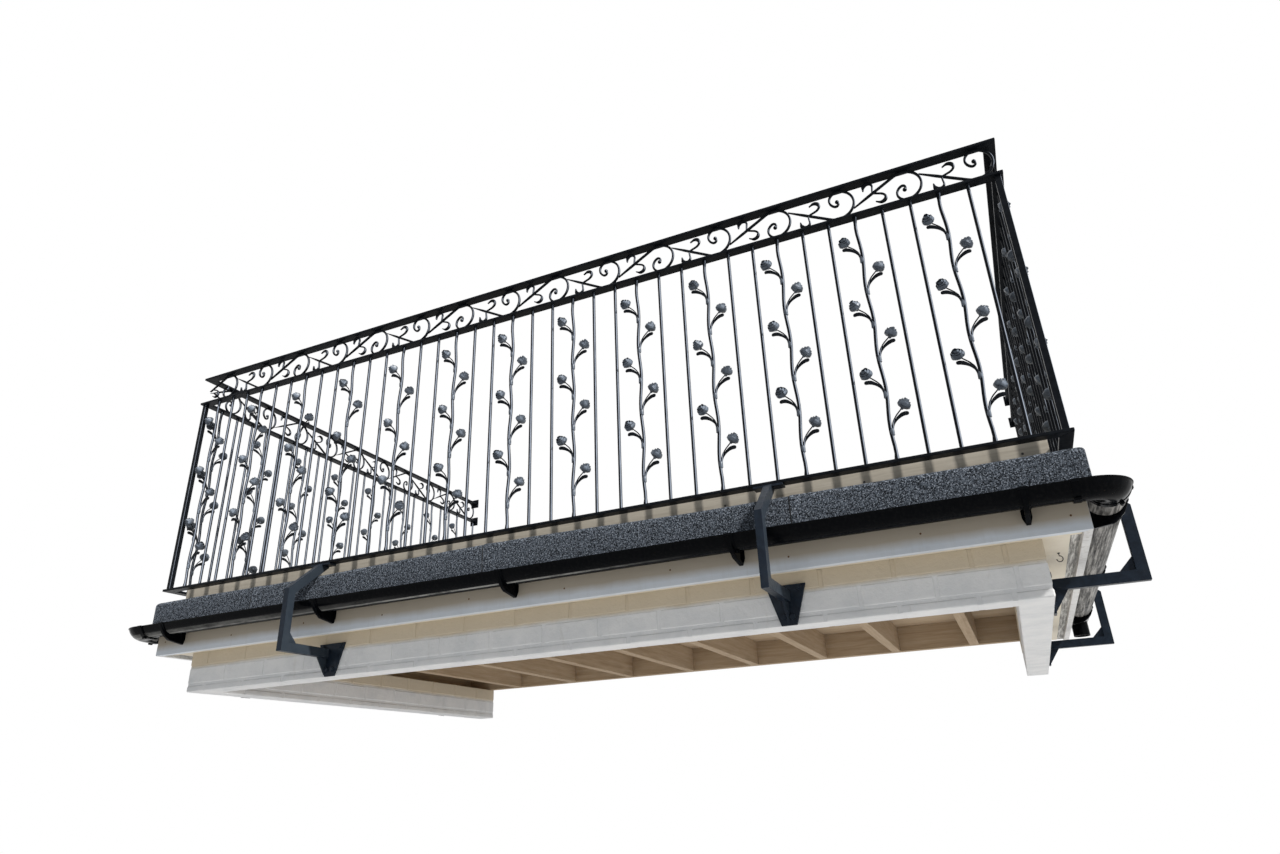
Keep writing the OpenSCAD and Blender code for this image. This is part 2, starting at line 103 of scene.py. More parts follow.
# Sizes of the roof edge, as in the part's source
kerb_r, wall_t = 18 * MM, 100 * MM
hanger_first, hanger_last = 154 * MM, 2011 * MM
front_hangers, side_hangers = 5, 3
front_plates, side_plates = (-912 * MM, 965 * MM), (400 * MM, 1885 * MM)
plate_z, plate_t = (-124 * MM, -214 * MM), 8 * MM
joist_count, bearer_count, timber_t = 10, 9, 47 * MM

# Sizes that only the looks have
swell_h, swell_x, swell_left, swell_right, ripple = 15 * MM, -0.18, 0.45, 0.65, 1.2 * MM
felt_laps = (-1290 * MM, -128 * MM, 1034 * MM)
deck_w, deck_gap, roof_w, roof_gap = 140 * MM, 5 * MM, 145 * MM, 1.5 * MM
brick, course, joint = 225 * MM, 75 * MM, 10 * MM
edge_screw_x, edge_screw_pitch, edge_screw_z = 328 * MM, 467 * MM, 178 * MM
nail_rows = (-30 * MM, -42 * MM)
hook_x, hook_y = 1774 * MM, -2012 * MM

# Where the sun stands, and the side of the ironwork that carries a painted highlight
TO_SUN = (0.70, -0.33, 0.63)
HIGHLIGHT_SIDE = (0.70, -0.71, 0.0)

# Colours of surfaces, of what has settled on them and of wear, and of painted shade and painted reflection
BLACK, COAL, HOLLOW_SHADE = (0.0035, 0.0045, 0.0065), (0.009, 0.011, 0.0145), (0.006, 0.008, 0.012)
DECK = (0.45, 0.405, 0.33), (0.59, 0.54, 0.455), (0.68, 0.63, 0.545)
SAWN = (0.32, 0.23, 0.145), (0.47, 0.36, 0.245), (0.57, 0.46, 0.335)
RAIN_STAIN, GUTTER_SHADE, WALL_DIRT = (0.34, 0.31, 0.27), (0.40, 0.325, 0.215), (0.5, 0.47, 0.41)
CREAM, GLOSS_BLACK = (0.60, 0.50, 0.35), (0.0015, 0.002, 0.003)
BELLY_REFLECTION, RAIN_DUST_AND_SHEEN = (0.34, 0.34, 0.325), (0.52, 0.505, 0.48)

MATERIALS = {}


# Node materials
def feed(node, feeds):
    """Sets inputs of a node to values, or links them to outputs of other nodes."""
    for key, value in feeds.items():
        if isinstance(value, bpy.types.NodeSocket):
            node.id_data.links.new(value, node.inputs[key])
        else:
            node.inputs[key].default_value = value


def add_node(tree, kind, feeds=None, **settings):
    made = tree.nodes.new(kind)
    for key, value in settings.items():
        setattr(made, key, value)
    feed(made, feeds or {})
    return made


class Shader:
    """Builds one material from nodes, with a piece's own coordinates and normals as its only input."""

    def __init__(self, name, specular=0.5):
        self.material = MATERIALS[name] = bpy.data.materials.new(name)
        self.material.use_nodes = True
        self.tree = self.material.node_tree
        self.bsdf = self.tree.nodes["Principled BSDF"]
        feed(self.bsdf, {"Specular IOR Level": specular})
        self.coords = self.add("ShaderNodeTexCoord").outputs["Object"]

    def add(self, kind, feeds=None, **settings):
        return add_node(self.tree, kind, feeds, **settings)

    def stretched(self, stretch):
        return self.add("ShaderNodeMapping", {"Vector": self.coords, "Scale": stretch}).outputs["Vector"]

    def noise(self, scale, detail=3.0, rough=0.55, stretch=None, distortion=0.0):
        feeds = {"Vector": self.stretched(stretch) if stretch else self.coords, "Scale": scale,
                 "Detail": detail, "Roughness": rough, "Distortion": distortion}
        return self.add("ShaderNodeTexNoise", feeds).outputs["Fac"]

    def cells(self, scale, output="Color"):
        return self.add("ShaderNodeTexVoronoi", {"Vector": self.coords, "Scale": scale}).outputs[output]

    def ramp(self, fac, *stops):
        made = self.add("ShaderNodeValToRGB", {"Fac": fac})
        elements = made.color_ramp.elements
        while len(elements) < len(stops):
            elements.new(0.5)
        for element, (at, colour) in zip(elements, stops):
            element.position = at
            element.color = (*colour, 1) if isinstance(colour, tuple) else (colour, colour, colour, 1)
        return made.outputs["Color"]

    def mix(self, fac, *colours):
        a, b = ((*c, 1) if isinstance(c, tuple) else c for c in colours)
        return self.add("ShaderNodeMix", {0: fac, 6: a, 7: b}, data_type="RGBA").outputs[2]

    def math(self, operation, a, b):
        return self.add("ShaderNodeMath", {0: a, 1: b}, operation=operation).outputs[0]

    def axis(self, name):
        return self.add("ShaderNodeSeparateXYZ", {0: self.coords}).outputs[name]

    def from_left(self):
        """Rises from 0 to 1 along the 4 m of the front, from left to right."""
        return self.math("MULTIPLY", self.math("ADD", self.axis("X"), 2.0), 0.25)

    def above(self, height, slope, scale, waver):
        """Grows with the height over a level, with a wavy edge."""
        high = self.math("MULTIPLY", self.math("SUBTRACT", self.axis("Z"), height), slope)
        return self.math("ADD", high, self.math("MULTIPLY", self.noise(scale, 4), waver))

    def facing(self, direction):
        """How squarely a surface faces a direction, from -1 to 1."""
        normal = self.add("ShaderNodeNewGeometry").outputs["Normal"]
        feeds = {0: normal, 1: Vector(direction).normalized()}
        return self.add("ShaderNodeVectorMath", feeds, operation="DOT_PRODUCT").outputs["Value"]

    def finish(self, colour, roughness, *bumps):
        """Sets the surface, with bumps of (height, strength, distance) one on top of the other."""
        normal = {}
        for height, strength, distance in bumps:
            feeds = {"Height": height, "Strength": strength, "Distance": distance, **normal}
            normal = {"Normal": self.add("ShaderNodeBump", feeds).outputs["Normal"]}
        feed(self.bsdf, {"Base Color": colour, "Roughness": roughness, **normal})


def satin_paint(name, dark, light, dust, level, highlight_colour, toward=HIGHLIGHT_SIDE, shade_reach=0.0):
    """Brushed paint over steel, a little dusty, with a painted highlight on the side that faces one
    direction, and painted shade in recesses within a reach if asked.
    """
    s = Shader(name, level)
    tone = s.ramp(s.noise(45, 4), (0.3, dark), (0.72, light))
    patches = s.ramp(s.noise(16, 5, 0.65), (0.55, 0.0), (0.85, 0.3))
    # Painted highlight: faces turned toward one side are lightened toward a pale colour, standing in for the
    # sun's gloss.
    highlit_side = s.ramp(s.facing(toward), (0.92, 0.0), (0.97, 1.0))
    broken_up = s.math("MULTIPLY", highlit_side, s.ramp(s.noise(30, 4), (0.3, 0.7), (0.7, 1.0)))
    colour = s.mix(broken_up, s.mix(patches, tone, dust), highlight_colour)
    # Painted shade: recesses within a reach, found by ambient occlusion, are darkened toward a near black.
    if shade_reach:
        open_air = s.add("ShaderNodeAmbientOcclusion", {"Distance": shade_reach}, samples=6)
        colour = s.mix(s.ramp(open_air.outputs["AO"], (0.3, 0.0), (0.8, 1.0)), HOLLOW_SHADE, colour)
    rough = s.ramp(s.noise(70, 3), (0.3, 0.3), (0.75, 0.44))
    s.finish(colour, rough, (s.noise(90, 3), 0.35, 0.0012), (s.noise(900, 2), 0.2, 0.0003))


def felt():
    """Charcoal mineral felt: blue-grey and white granules over a dark ground."""
    s = Shader("mineral_felt", 0.1)
    granules = 560
    ground = s.ramp(s.noise(9, 4, 0.6), (0.3, (0.004, 0.005, 0.007)), (0.7, (0.010, 0.013, 0.017)))
    fine = s.ramp(s.cells(granules), (0.62, 0.0), (0.85, 1.0))
    coarse = s.ramp(s.noise(215, 2, 0.75), (0.54, 0.0), (0.63, 1.0))
    right = s.ramp(s.from_left(), (0.3, 0.0), (0.6, 1.0))
    large, small = (s.ramp(s.noise(size, 2, 0.8), (0.5, 0.0), (0.55, 1.0)) for size in (82, 150))
    clumps = s.math("ADD", s.math("MULTIPLY", small, right),
                    s.math("MULTIPLY", large, s.math("SUBTRACT", 1.0, right)))
    speckled = s.mix(fine, s.mix(clumps, ground, (0.10, 0.118, 0.145)), (0.09, 0.108, 0.135))
    pale = s.mix(s.math("MULTIPLY", coarse, 0.9), speckled, (0.43, 0.48, 0.56))
    s.finish(pale, 0.85, (s.cells(granules, "Distance"), 0.8, 0.0015), (s.noise(30, 4), 0.5, 0.004))


def wood(name, dark, mid, light, along, rough=0.7, fine=1.0):
    """Board grain that runs along one axis, with a tone of its own for each board."""
    s = Shader(name, 0.3)
    board = s.add("ShaderNodeAttribute", attribute_name="board").outputs["Fac"]
    shift = s.add("ShaderNodeCombineXYZ", {k: s.math("MULTIPLY", board, 5.3 + 2.1 * k) for k in range(3)})
    s.coords = s.add("ShaderNodeVectorMath", {0: s.coords, 1: shift.outputs[0]}, operation="ADD").outputs[0]
    stretch = tuple(0.06 if axis == along else 1.0 for axis in "XYZ")
    grain = s.noise(95 * fine, 5, 0.6, stretch, 0.4)
    pores = s.noise(420 * fine, 3, 0.6, stretch)
    tone = s.ramp(grain, (0.28, dark), (0.5, mid), (0.74, light))
    broken_up = s.mix(s.ramp(pores, (0.35, 0.35), (0.6, 0.0)), tone, dark)
    varied = s.mix(0.3, broken_up, s.ramp(board, (0.0, dark), (1.0, light)))
    s.finish(varied, rough, (grain, 0.3, 0.0012), (pores, 0.25, 0.0005))


def painted(name, colour, shade, streaks, along, rough=0.45, shade_above=None):
    """Gloss paint that follows brush marks, with weather streaks, and warm painted shade above a height if
    asked, where a gutter's shadow falls.
    """
    s = Shader(name, 0.35)
    stretch = tuple(0.05 if axis == along else 1.0 for axis in "XYZ")
    marks = s.noise(260, 3, 0.5, stretch)
    tone = s.ramp(s.noise(5, 4), (0.3, shade), (0.62, colour))
    runs = s.ramp(s.noise(46, 5, 0.7, (1.0, 1.0, 0.08)), (0.52, 0.0), (0.78, streaks))
    stained = s.mix(runs, tone, RAIN_STAIN)
    if shade_above:
        # Painted shade: the board grows darker and warmer toward its top, under the gutter.
        stained = s.mix(s.ramp(s.above(shade_above, 26.0, 12, 0.4), (0.0, 0.0), (0.75, 0.8)), stained, GUTTER_SHADE)
    s.finish(stained, rough, (marks, 0.25, 0.0006), (s.noise(22, 3), 0.2, 0.003))


def streaked_strip():
    """Grey strip beside the soffit boards, streaked black and white along its length."""
    s = Shader("streaked_strip", 0.3)
    runs = s.noise(150, 5, 0.75, (1.0, 0.05, 1.0))
    tone = s.ramp(runs, (0.36, (0.07, 0.07, 0.065)), (0.5, (0.34, 0.33, 0.31)), (0.62, (0.72, 0.71, 0.68)))
    blots = s.ramp(s.noise(60, 4, 0.7, (1.0, 0.2, 1.0)), (0.5, 0.0), (0.7, 0.7))
    s.finish(s.mix(blots, tone, (0.10, 0.095, 0.085)), 0.6, (runs, 0.3, 0.001))


def masonry():
    """White masonry paint, thick in the joints and uneven on the bricks, and cream on the top course."""
    s = Shader("painted_wall", 0.2)
    tone = s.ramp(s.noise(9, 5, 0.6), (0.3, (0.72, 0.735, 0.75)), (0.6, (0.83, 0.835, 0.84)))
    dirt_and_reflection = s.ramp(s.noise(34, 5, 0.7, (1.0, 1.0, 0.25)), (0.6, 0.0), (0.85, 0.4))
    top_course = s.ramp(s.above(wall_high.z - 72 * MM, 40.0, 7, 0.8), (0.2, 0.0), (0.75, 0.85))
    colour = s.mix(top_course, s.mix(dirt_and_reflection, tone, WALL_DIRT), CREAM)
    s.finish(colour, 0.75, (s.noise(60, 5, 0.65), 0.8, 0.003), (s.noise(420, 3), 0.45, 0.001))


def plastic(name, dust, along="Z", belly=1.0):
    """Black gloss gutter, with dried rain in streaks along one axis, strong enough in one copy to stand
    partly for a painted reflection, and a painted reflection along its belly that fades toward the right.
    """
    s = Shader(name, 0.03)
    stretch = tuple(0.035 if axis == along else 1.0 for axis in "XYZ")
    film_and_sheen = s.ramp(s.noise(24, 5, 0.7, tuple(0.3 + 0.7 * k for k in stretch)), (0.45, 0.0), (0.75, dust * 0.6))
    drips_and_sheen = s.ramp(s.noise(120, 5, 0.75, stretch), (0.38, 0.0), (0.5, dust * 0.3), (0.62, dust))
    uneven = s.ramp(s.noise(7, 5, 0.75, (1.0, 1.0, 8.0)), (0.36, 0.25 * belly), (0.56, belly))
    # Painted reflection: a pale band and a thin line along the underside, brightest toward the left and
    # broken up unevenly.
    below, right = s.facing((0, 0.24, -0.97)), s.from_left()
    band = s.math("MULTIPLY", s.ramp(below, (0.53, 0.0), (0.6, 0.6), (0.86, 0.8), (0.9, 0.0)),
                  s.ramp(right, (0.2, 1.0), (0.4, 0.0)))
    line = s.math("MULTIPLY", s.ramp(below, (0.78, 0.0), (0.82, 1.0), (0.87, 1.0), (0.9, 0.0)),
                  s.ramp(right, (0.3, 0.3), (0.42, 1.0), (0.55, 0.8), (0.68, 0.0)))
    dirt_and_reflection = s.math("MULTIPLY", s.math("ADD", s.math("MULTIPLY", band, 0.45), line), uneven)
    colour = s.mix(s.math("MAXIMUM", film_and_sheen, drips_and_sheen), s.mix(dirt_and_reflection, GLOSS_BLACK, BELLY_REFLECTION), RAIN_DUST_AND_SHEEN)
    rough = s.ramp(s.noise(18, 4), (0.3, 0.1 + dust * 0.2), (0.8, 0.2 + dust * 0.4))
    s.finish(colour, rough, (s.noise(12, 2), 0.1, 0.003))


def metal(name, dark, light, rough=0.5):
    """Small screws, nails and hooks, spotted with rust."""
    s = Shader(name, 0.4)
    spots = s.ramp(s.noise(160, 4, 0.7), (0.35, dark), (0.65, light))
    s.finish(spots, rough, (s.noise(400, 3), 0.3, 0.0004))


# The last colour of each satin paint is a painted highlight on the faces toward the sun: a stripe on round
# bars, light sides on the petals, lighter +X faces on the brackets.
satin_paint("black_paint", BLACK, COAL, (0.03, 0.033, 0.038), 0.05, (0.38, 0.43, 0.52))
# The roses' slate tone is lighter than the stems' black, partly as painted light for petals that face the
# sun.
satin_paint("rose_paint", (0.04, 0.05, 0.068), (0.125, 0.15, 0.185), (0.25, 0.29, 0.34), 0.25,
            (0.24, 0.285, 0.35), shade_reach=7 * MM)
satin_paint("slate_paint", (0.007, 0.011, 0.018), (0.013, 0.021, 0.034), (0.06, 0.07, 0.08), 0.12,
            (0.035, 0.046, 0.06), (1.0, 0.0, 0.0))
felt()
wood("deck_board", *DECK, "X")
wood("deck_board_side", *DECK, "Y")
wood("sawn_along", *SAWN, "Y", 0.85, 0.6)
wood("sawn_across", *SAWN, "X", 0.85, 0.6)
# The front boards' white is greyer and bluer than the side boards', as painted shade.
painted("white_board", (0.73, 0.775, 0.83), (0.645, 0.695, 0.755), 0.16, "X", shade_above=-60 * MM)
painted("white_board_side", (0.80, 0.80, 0.79), (0.66, 0.66, 0.66), 0.75, "Y")
painted("soffit_board", (0.82, 0.76, 0.64), (0.74, 0.67, 0.54), 0.1, "X", 0.55)
streaked_strip()
masonry()
plastic("gutter_plastic", 0.008)
plastic("black_plastic", 0.004, belly=0.0)
# On the right gutter the pale streaks are strong, partly dust and partly a painted reflection.
plastic("dust_and_sheen_plastic", 0.95, "Y")
metal("bitumen", (0.004, 0.004, 0.005), (0.012, 0.012, 0.013), 0.6)
metal("dark_steel", (0.02, 0.021, 0.023), (0.08, 0.07, 0.06))
metal("rusty_steel", (0.05, 0.025, 0.012), (0.20, 0.10, 0.05), 0.8)


# Making pieces
class Shape:
    """Points and faces that are built once and copied to many places."""

    def __init__(self, bm=None):
        self.points, self.faces, self.tones = np.zeros((0, 3)), [], []
        if bm:
            bmesh.ops.recalc_face_normals(bm, faces=bm.faces)
            bm.verts.index_update()
            self.points = np.array([v.co[:] for v in bm.verts])
            self.faces = [tuple(v.index for v in f.verts) for f in bm.faces]
            self.tones = [0.0] * len(self.faces)
            bm.free()

    def add(self, points, faces, tone=0.0):
        base = len(self.points)
        self.points = np.concatenate((self.points, np.array(points, float)))
        self.faces += [tuple(base + k for k in f) for f in faces]
        self.tones += [tone] * len(faces)

    def copy(self, other, matrix=None, tone=0.0):
        points, faces = other.points, other.faces
        if matrix is not None:
            turn = np.array(matrix)
            points = points @ turn[:3, :3].T + turn[:3, 3]
            if matrix.determinant() < 0:
                faces = [f[::-1] for f in faces]
        self.add(points, faces, tone)

    def tidied(self):
        """The same shape with every face turned outward."""
        bm = bmesh.new()
        made = [bm.verts.new(p) for p in self.points]
        for f in self.faces:
            bm.faces.new([made[k] for k in f])
        return Shape(bm)


def add_piece(name, shape, material, replaced=(), smooth=40, weighted=True):
    """Turns a shape into a piece that rides on the balcony, with a given material."""
    mesh = bpy.data.meshes.new(name)
    mesh.from_pydata(shape.points.tolist(), [], shape.faces)
    mesh.shade_smooth()
    mesh.set_sharp_from_angle(angle=math.radians(smooth))
    if any(shape.tones):
        mesh.attributes.new("board", "FLOAT", "FACE").data.foreach_set("value", shape.tones)
    piece = bpy.data.objects.new(name, mesh)
    scene.collection.objects.link(piece)
    if weighted:
        piece.modifiers.new("weighted normals", "WEIGHTED_NORMAL").keep_sharp = True
    mesh.materials.append(MATERIALS[material])
    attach(piece, "root")
    if replaced:
        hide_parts(*replaced)


def copy_of(node):
    """A bmesh of a node's shape, with its facets joined into whole faces."""
    weld, flat = 0.02 * MM, math.radians(0.6)
    bm = bmesh.new()
    bm.from_mesh(frame["nodes"][node].data)
    bmesh.ops.remove_doubles(bm, verts=bm.verts, dist=weld)
    bmesh.ops.dissolve_limit(bm, angle_limit=flat, verts=bm.verts, edges=bm.edges)
    return bm


def soften(bm, width, segments, above=30):
    """Rounds every edge that is sharper than an angle."""
    sharp = [e for e in bm.edges if len(e.link_faces) == 2 and e.calc_face_angle() > math.radians(above)]
    bmesh.ops.bevel(bm, geom=sharp, offset=width, offset_type="OFFSET", segments=segments, profile=0.5,
                    affect="EDGES", clamp_overlap=True, loop_slide=True)


def dress(node, material, width, segments=2):
    """A node's own shape with its edges rounded."""
    bm = copy_of(node)
    if width:
        soften(bm, width, segments)
    add_piece(node + ".shape", Shape(bm), material, [node])


def block(low, high, width=0.0, jitter=0.0):
    """A block with edges rounded to a width, whose corners are a little out of place if asked."""
    bm = bmesh.new()
    bmesh.ops.create_cube(bm, size=1.0)
    low, high = Vector(low), Vector(high)
    for v in bm.verts:
        v.co = Vector(low[k] + (v.co[k] + 0.5) * (high[k] - low[k]) for k in range(3))
    if width:
        bmesh.ops.bevel(bm, geom=bm.edges[:], offset=width, segments=2, profile=0.5, affect="EDGES")
    for v in bm.verts:
        v.co += Vector(rng.uniform(-jitter, jitter) for _ in range(3))
    return Shape(bm)


def placed(side):
    """Sets a run, drawn along +X from a front corner with its outside at -Y, on its side of the balcony."""
    if side == "front":
        return Matrix(((1, 0, 0, -half_w), (0, 1, 0, front_y), (0, 0, 1, 0), (0, 0, 0, 1)))
    s = 1 if side == "right" else -1
    return Matrix(((0, -s, 0, s * half_w), (1, 0, 0, front_y), (0, 0, 1, 0), (0, 0, 0, 1)))


# Sweeps
def walk(x, z, angle, arcs):
    """Points of a path made of arcs (radius, turn) in millimetres, where a radius of 0 is a straight."""
    step, stride = 7, 12
    points = [(x, z, math.radians(angle))]
    for radius, turn in arcs:
        x, z, a = points[-1]
        if radius == 0:
            count = max(1, round(turn / stride))
            for k in range(1, count + 1):
                d = turn * k / count
                points.append((x + d * math.cos(a), z + d * math.sin(a), a))
            continue
        q = radius if turn > 0 else -radius
        cx, cz = x - q * math.sin(a), z + q * math.cos(a)
        count = max(2, math.ceil(abs(turn) / step))
        for k in range(1, count + 1):
            b = a + math.radians(turn) * k / count
            points.append((cx + q * math.sin(b), cz - q * math.cos(b), b))
    return points


def curve_through(points, per):
    """A smooth path through points (x, z), with its direction at each of some steps per span."""
    out = []
    last = len(points) - 1
    for i in range(last):
        p0, p1 = Vector(points[max(0, i - 1)]), Vector(points[i])
        p2, p3 = Vector(points[i + 1]), Vector(points[min(last, i + 2)])
        for k in range(per + (i == last - 1)):
            t = k / per
            out.append(0.5 * (2 * p1 + (p2 - p0) * t + (2 * p0 - 5 * p1 + 4 * p2 - p3) * t * t
                              + (3 * p1 - p0 - 3 * p2 + p3) * t ** 3))
    made = []
    for i, p in enumerate(out):
        d = out[min(i + 1, len(out) - 1)] - out[max(i - 1, 0)]
        made.append((p.x, p.y, math.atan2(d.y, d.x)))
    return made


def sweep(shape, path, size, sides=12, square=1.0, lift=None):
    """Sweeps a round or rounded-square section along a path in X and Z. size(t) is (thickness, depth)."""
    points = []
    for i, (x, z, a) in enumerate(path):
        t = i / (len(path) - 1)
        thick, deep = size(t)
        out = lift(t) if lift else 0.0
        for k in range(sides):
            u = 2 * math.pi * (k + 0.5) / sides
            c, s = (math.copysign(abs(w) ** square, w) for w in (math.cos(u), math.sin(u)))
            across = c * thick / 2
            points.append(((x - math.sin(a) * across) * MM, (s * deep / 2 + out) * MM,
                           (z + math.cos(a) * across) * MM))
    faces = [tuple(range(sides)), tuple(range(len(points) - 1, len(points) - sides - 1, -1))]
    for i in range(len(path) - 1):
        a, b = i * sides, (i + 1) * sides
        for k in range(sides):
            faces.append((a + (k + 1) % sides, a + k, b + k, b + (k + 1) % sides))
    shape.add(points, faces)


def ball_at(x, z, radius, tall=1.0, sides=16):
    """A ball at a place in millimetres, drawn out upward if asked."""
    bm = bmesh.new()
    bmesh.ops.create_uvsphere(bm, u_segments=sides, v_segments=sides * 5 // 8, radius=radius * MM)
    for v in bm.verts:
        v.co = (v.co.x + x * MM, v.co.y, v.co.z * tall + z * MM)
    return Shape(bm)


def tube(shape, points, radius, sides=8):
    """A round wire along points in space."""
    points = [Vector(p) for p in points]
    side, rings = None, []
    for i, p in enumerate(points):
        ahead = (points[min(i + 1, len(points) - 1)] - points[max(i - 1, 0)]).normalized()
        side = side or ahead.orthogonal()
        side = (side - ahead * side.dot(ahead)).normalized()
        up = ahead.cross(side)
        turns = (2 * math.pi * k / sides for k in range(sides))
        rings += [p + radius * (math.cos(u) * side + math.sin(u) * up) for u in turns]
    faces = [tuple(range(sides - 1, -1, -1)), tuple(range(len(rings) - sides, len(rings)))]
    for a in range(0, len(rings) - sides, sides):
        b = a + sides
        faces += [(a + k, a + (k + 1) % sides, b + (k + 1) % sides, b + k) for k in range(sides)]
    shape.add(rings, faces)


def disc(radius, height, sides=12, dome=0.75):
    """A low domed head that stands on z = 0 and points up."""
    bm = bmesh.new()
    levels = ((radius, 0.0), (radius, height * 0.55), (radius * dome, height))
    rings = [[bm.verts.new((r * math.cos(u), r * math.sin(u), z)) for u in
              (2 * math.pi * (k + 0.5) / sides for k in range(sides))] for r, z in levels]
    for low, high in zip(rings, rings[1:]):
        for k in range(sides):
            bm.faces.new((low[k], low[(k + 1) % sides], high[(k + 1) % sides], high[k]))
    bm.faces.new(rings[-1])
    bm.faces.new(rings[0][::-1])
    return Shape(bm)


def aimed(direction, point):
    """Turns a head that points up so that it points along a direction, and sets it at a point."""
    return Matrix.Translation(point) @ Vector(direction).to_track_quat("Z", "Y").to_matrix().to_4x4()


# The running scroll frieze
def fit(path, along, up):
    """A path drawn out by one factor along and another upward."""
    return [(x * along, z * up, math.atan2(math.sin(a) * up, math.cos(a) * along)) for x, z, a in path]


def scroll(cell, first):
    """A scroll with its curl and hook, drawn on a cell of a given size and fitted to the frieze's own."""
    drawn_w, drawn_h, slope, bow = 234, 127, 29.3, 59.7
    lead = scroll_gap + scroll_lead
    start = (lead - drawn_w, 34.2 + lead * 0.561) if first else (-237, 31.9)
    run = (-88.9 - start[0]) / math.cos(math.radians(slope)) - 8
    made = Shape()

    def branch(x, z, angle, arcs, size, sides, square):
        path = fit(walk(x, z, angle, arcs), cell / drawn_w, frieze_h / MM / drawn_h)
        sweep(made, path, size, sides, square)
        return path[-1]

    def main_size(t):
        return scroll_t * (min(1, 0.2 + t * 14) - 0.2 * t), scroll_d * (1 - 0.1 * t)

    def curl_size(t):
        thick = np.interp(t, (0, 0.3, 0.6, 0.8, 0.95, 1), (6, 8, 14, 12.5, 8, 3))
        return float(thick), scroll_d * (0.8 + 0.3 * math.sin(math.pi * t))

    def hook_size(t):
        thick = np.interp(t, (0, 0.3, 0.6, 0.85, 0.96, 1), (6, 9, 14, 15.5, 11, 5))
        return float(thick), scroll_d * (0.85 + 0.25 * math.sin(math.pi * t))

    arcs = [(0, 8), (0, run), (bow, -slope), (bow, -90), (bow, -75), (32.6, -165), (10, -160), (0, 3)]
    tip = branch(*start, slope, arcs, main_size, 12, 0.62)
    branch(-165, 71, -20, [(0, 26), (30, -30), (17, -160), (0, 12)], curl_size, 10, 0.7)
    if not first:
        branch(-167, 76, 83, [(0, 24), (16, 180), (0, 12)], hook_size, 10, 0.7)
    made.copy(ball_at(*tip[:2], ball_d / 2))
    return made


def scroll_run(side):
    """Scrolls in pairs, one upright and one turned over, along a side."""
    length, pairs = 2 * half_w / MM, front_pairs
    if side != "front":
        length, pairs = -front_y / MM - wall_gap, side_pairs
    cell = (length + scroll_lead) / pairs / 2
    first, other = scroll(cell, True), scroll(cell, False)
    frieze = Shape()
    for i in range(2 * pairs):
        x = ((i + 1) * cell - scroll_lead) * MM
        z = mid_z + (i % 2) * frieze_h
        flip = Matrix.Scale(-1, 4, (0, 0, 1)) if i % 2 else Matrix.Identity(4)
        frieze.copy(other if i else first, placed(side) @ Matrix.Translation((x, 0, z)) @ flip)
    add_piece(side + "_scroll_frieze", frieze, "black_paint", [side + "_scrolls"], 50, False)


for side in SIDES:
    scroll_run(side)


# Upright bars, with a small weld bead at each end
def round_bar():
    """One bar, with its widths at its levels from bead to bead."""
    d = bar_t / MM
    h = bar_h / MM
    levels = [(0, d + 5), (1.5, d + 4.4), (3.5, d + 1.2), (5, d), (h / 2, d), (h - 5, d), (h - 3.5, d + 1.2),
              (h - 1.5, d + 4.4), (h, d + 5)]
    widths = [w for _, w in levels]
    made = Shape()
    sweep(made, [(0, z, math.pi / 2) for z, _ in levels],
          lambda t: (widths[round(t * (len(widths) - 1))],) * 2, 20)
    return made


def bar_row(name, runs, replaced):
    """The plain bars of some runs, which leave out the places of the stems."""
    one, row = round_bar(), Shape()
    for side, last in runs:
        for i in range(1, last + 1):
            if i % stem_step != 1:
                row.copy(one, placed(side) @ Matrix.Translation((i * bar_pitch, 0, rail_z)))
    add_piece(name, row, "black_paint", [replaced])


bar_row("front_round_bars", [("front", front_gaps - 1)], "front_bars")
bar_row("side_round_bars", [("left", side_gaps), ("right", side_gaps)], "side_bars")


# Rose stems
def petal(shape, turn, reach, spread, rise, curl, tilt):
    """One petal of a rose that opens toward -Y: a thin cupped plate, a little crumpled, closed at its rim."""
    across, along, thick = 5, 4, 1.1
    points, faces = [], []
    for back in (0.0, thick):
        for j in range(along + 1):
            v = j / along
            for i in range(across + 1):
                u = 2 * i / across - 1
                angle = turn + u * spread * math.sin(math.pi * (0.16 + 0.42 * v))
                crumple = 0.04 * math.sin(7 * u + turn * 5) * v + 0.025 * math.sin(11 * v + turn * 3)
                belly = 0.2 + 0.8 * math.sin(min(1.0, v / 0.65) * math.pi / 2) - curl * max(0.0, v - 0.65)
                r = reach * belly * (1 - 0.05 * u * u * v + crumple) - back * (1 - v)
                high = tilt + rise * v ** 1.4 - 1.8 * u * u * v + 0.5 * math.sin(6 * u + 4 * v + turn)
                points.append((r * math.cos(angle) * MM, (back * v - high) * MM, r * math.sin(angle) * MM))
    wide = across + 1
    half = wide * (along + 1)
    for a in (j * wide + i for j in range(along) for i in range(across)):
        faces.append((a, a + 1, a + wide + 1, a + wide))
        faces.append((half + a, half + a + wide, half + a + wide + 1, half + a + 1))
    rim = [j * wide for j in range(along)] + [along * wide + i for i in range(across)]
    rim += [j * wide + across for j in range(along, 0, -1)] + list(range(across, 0, -1))
    for a, b in zip(rim, rim[1:] + rim[:1]):
        faces.append((a, b, half + b, half + a))
    shape.add(points, faces)


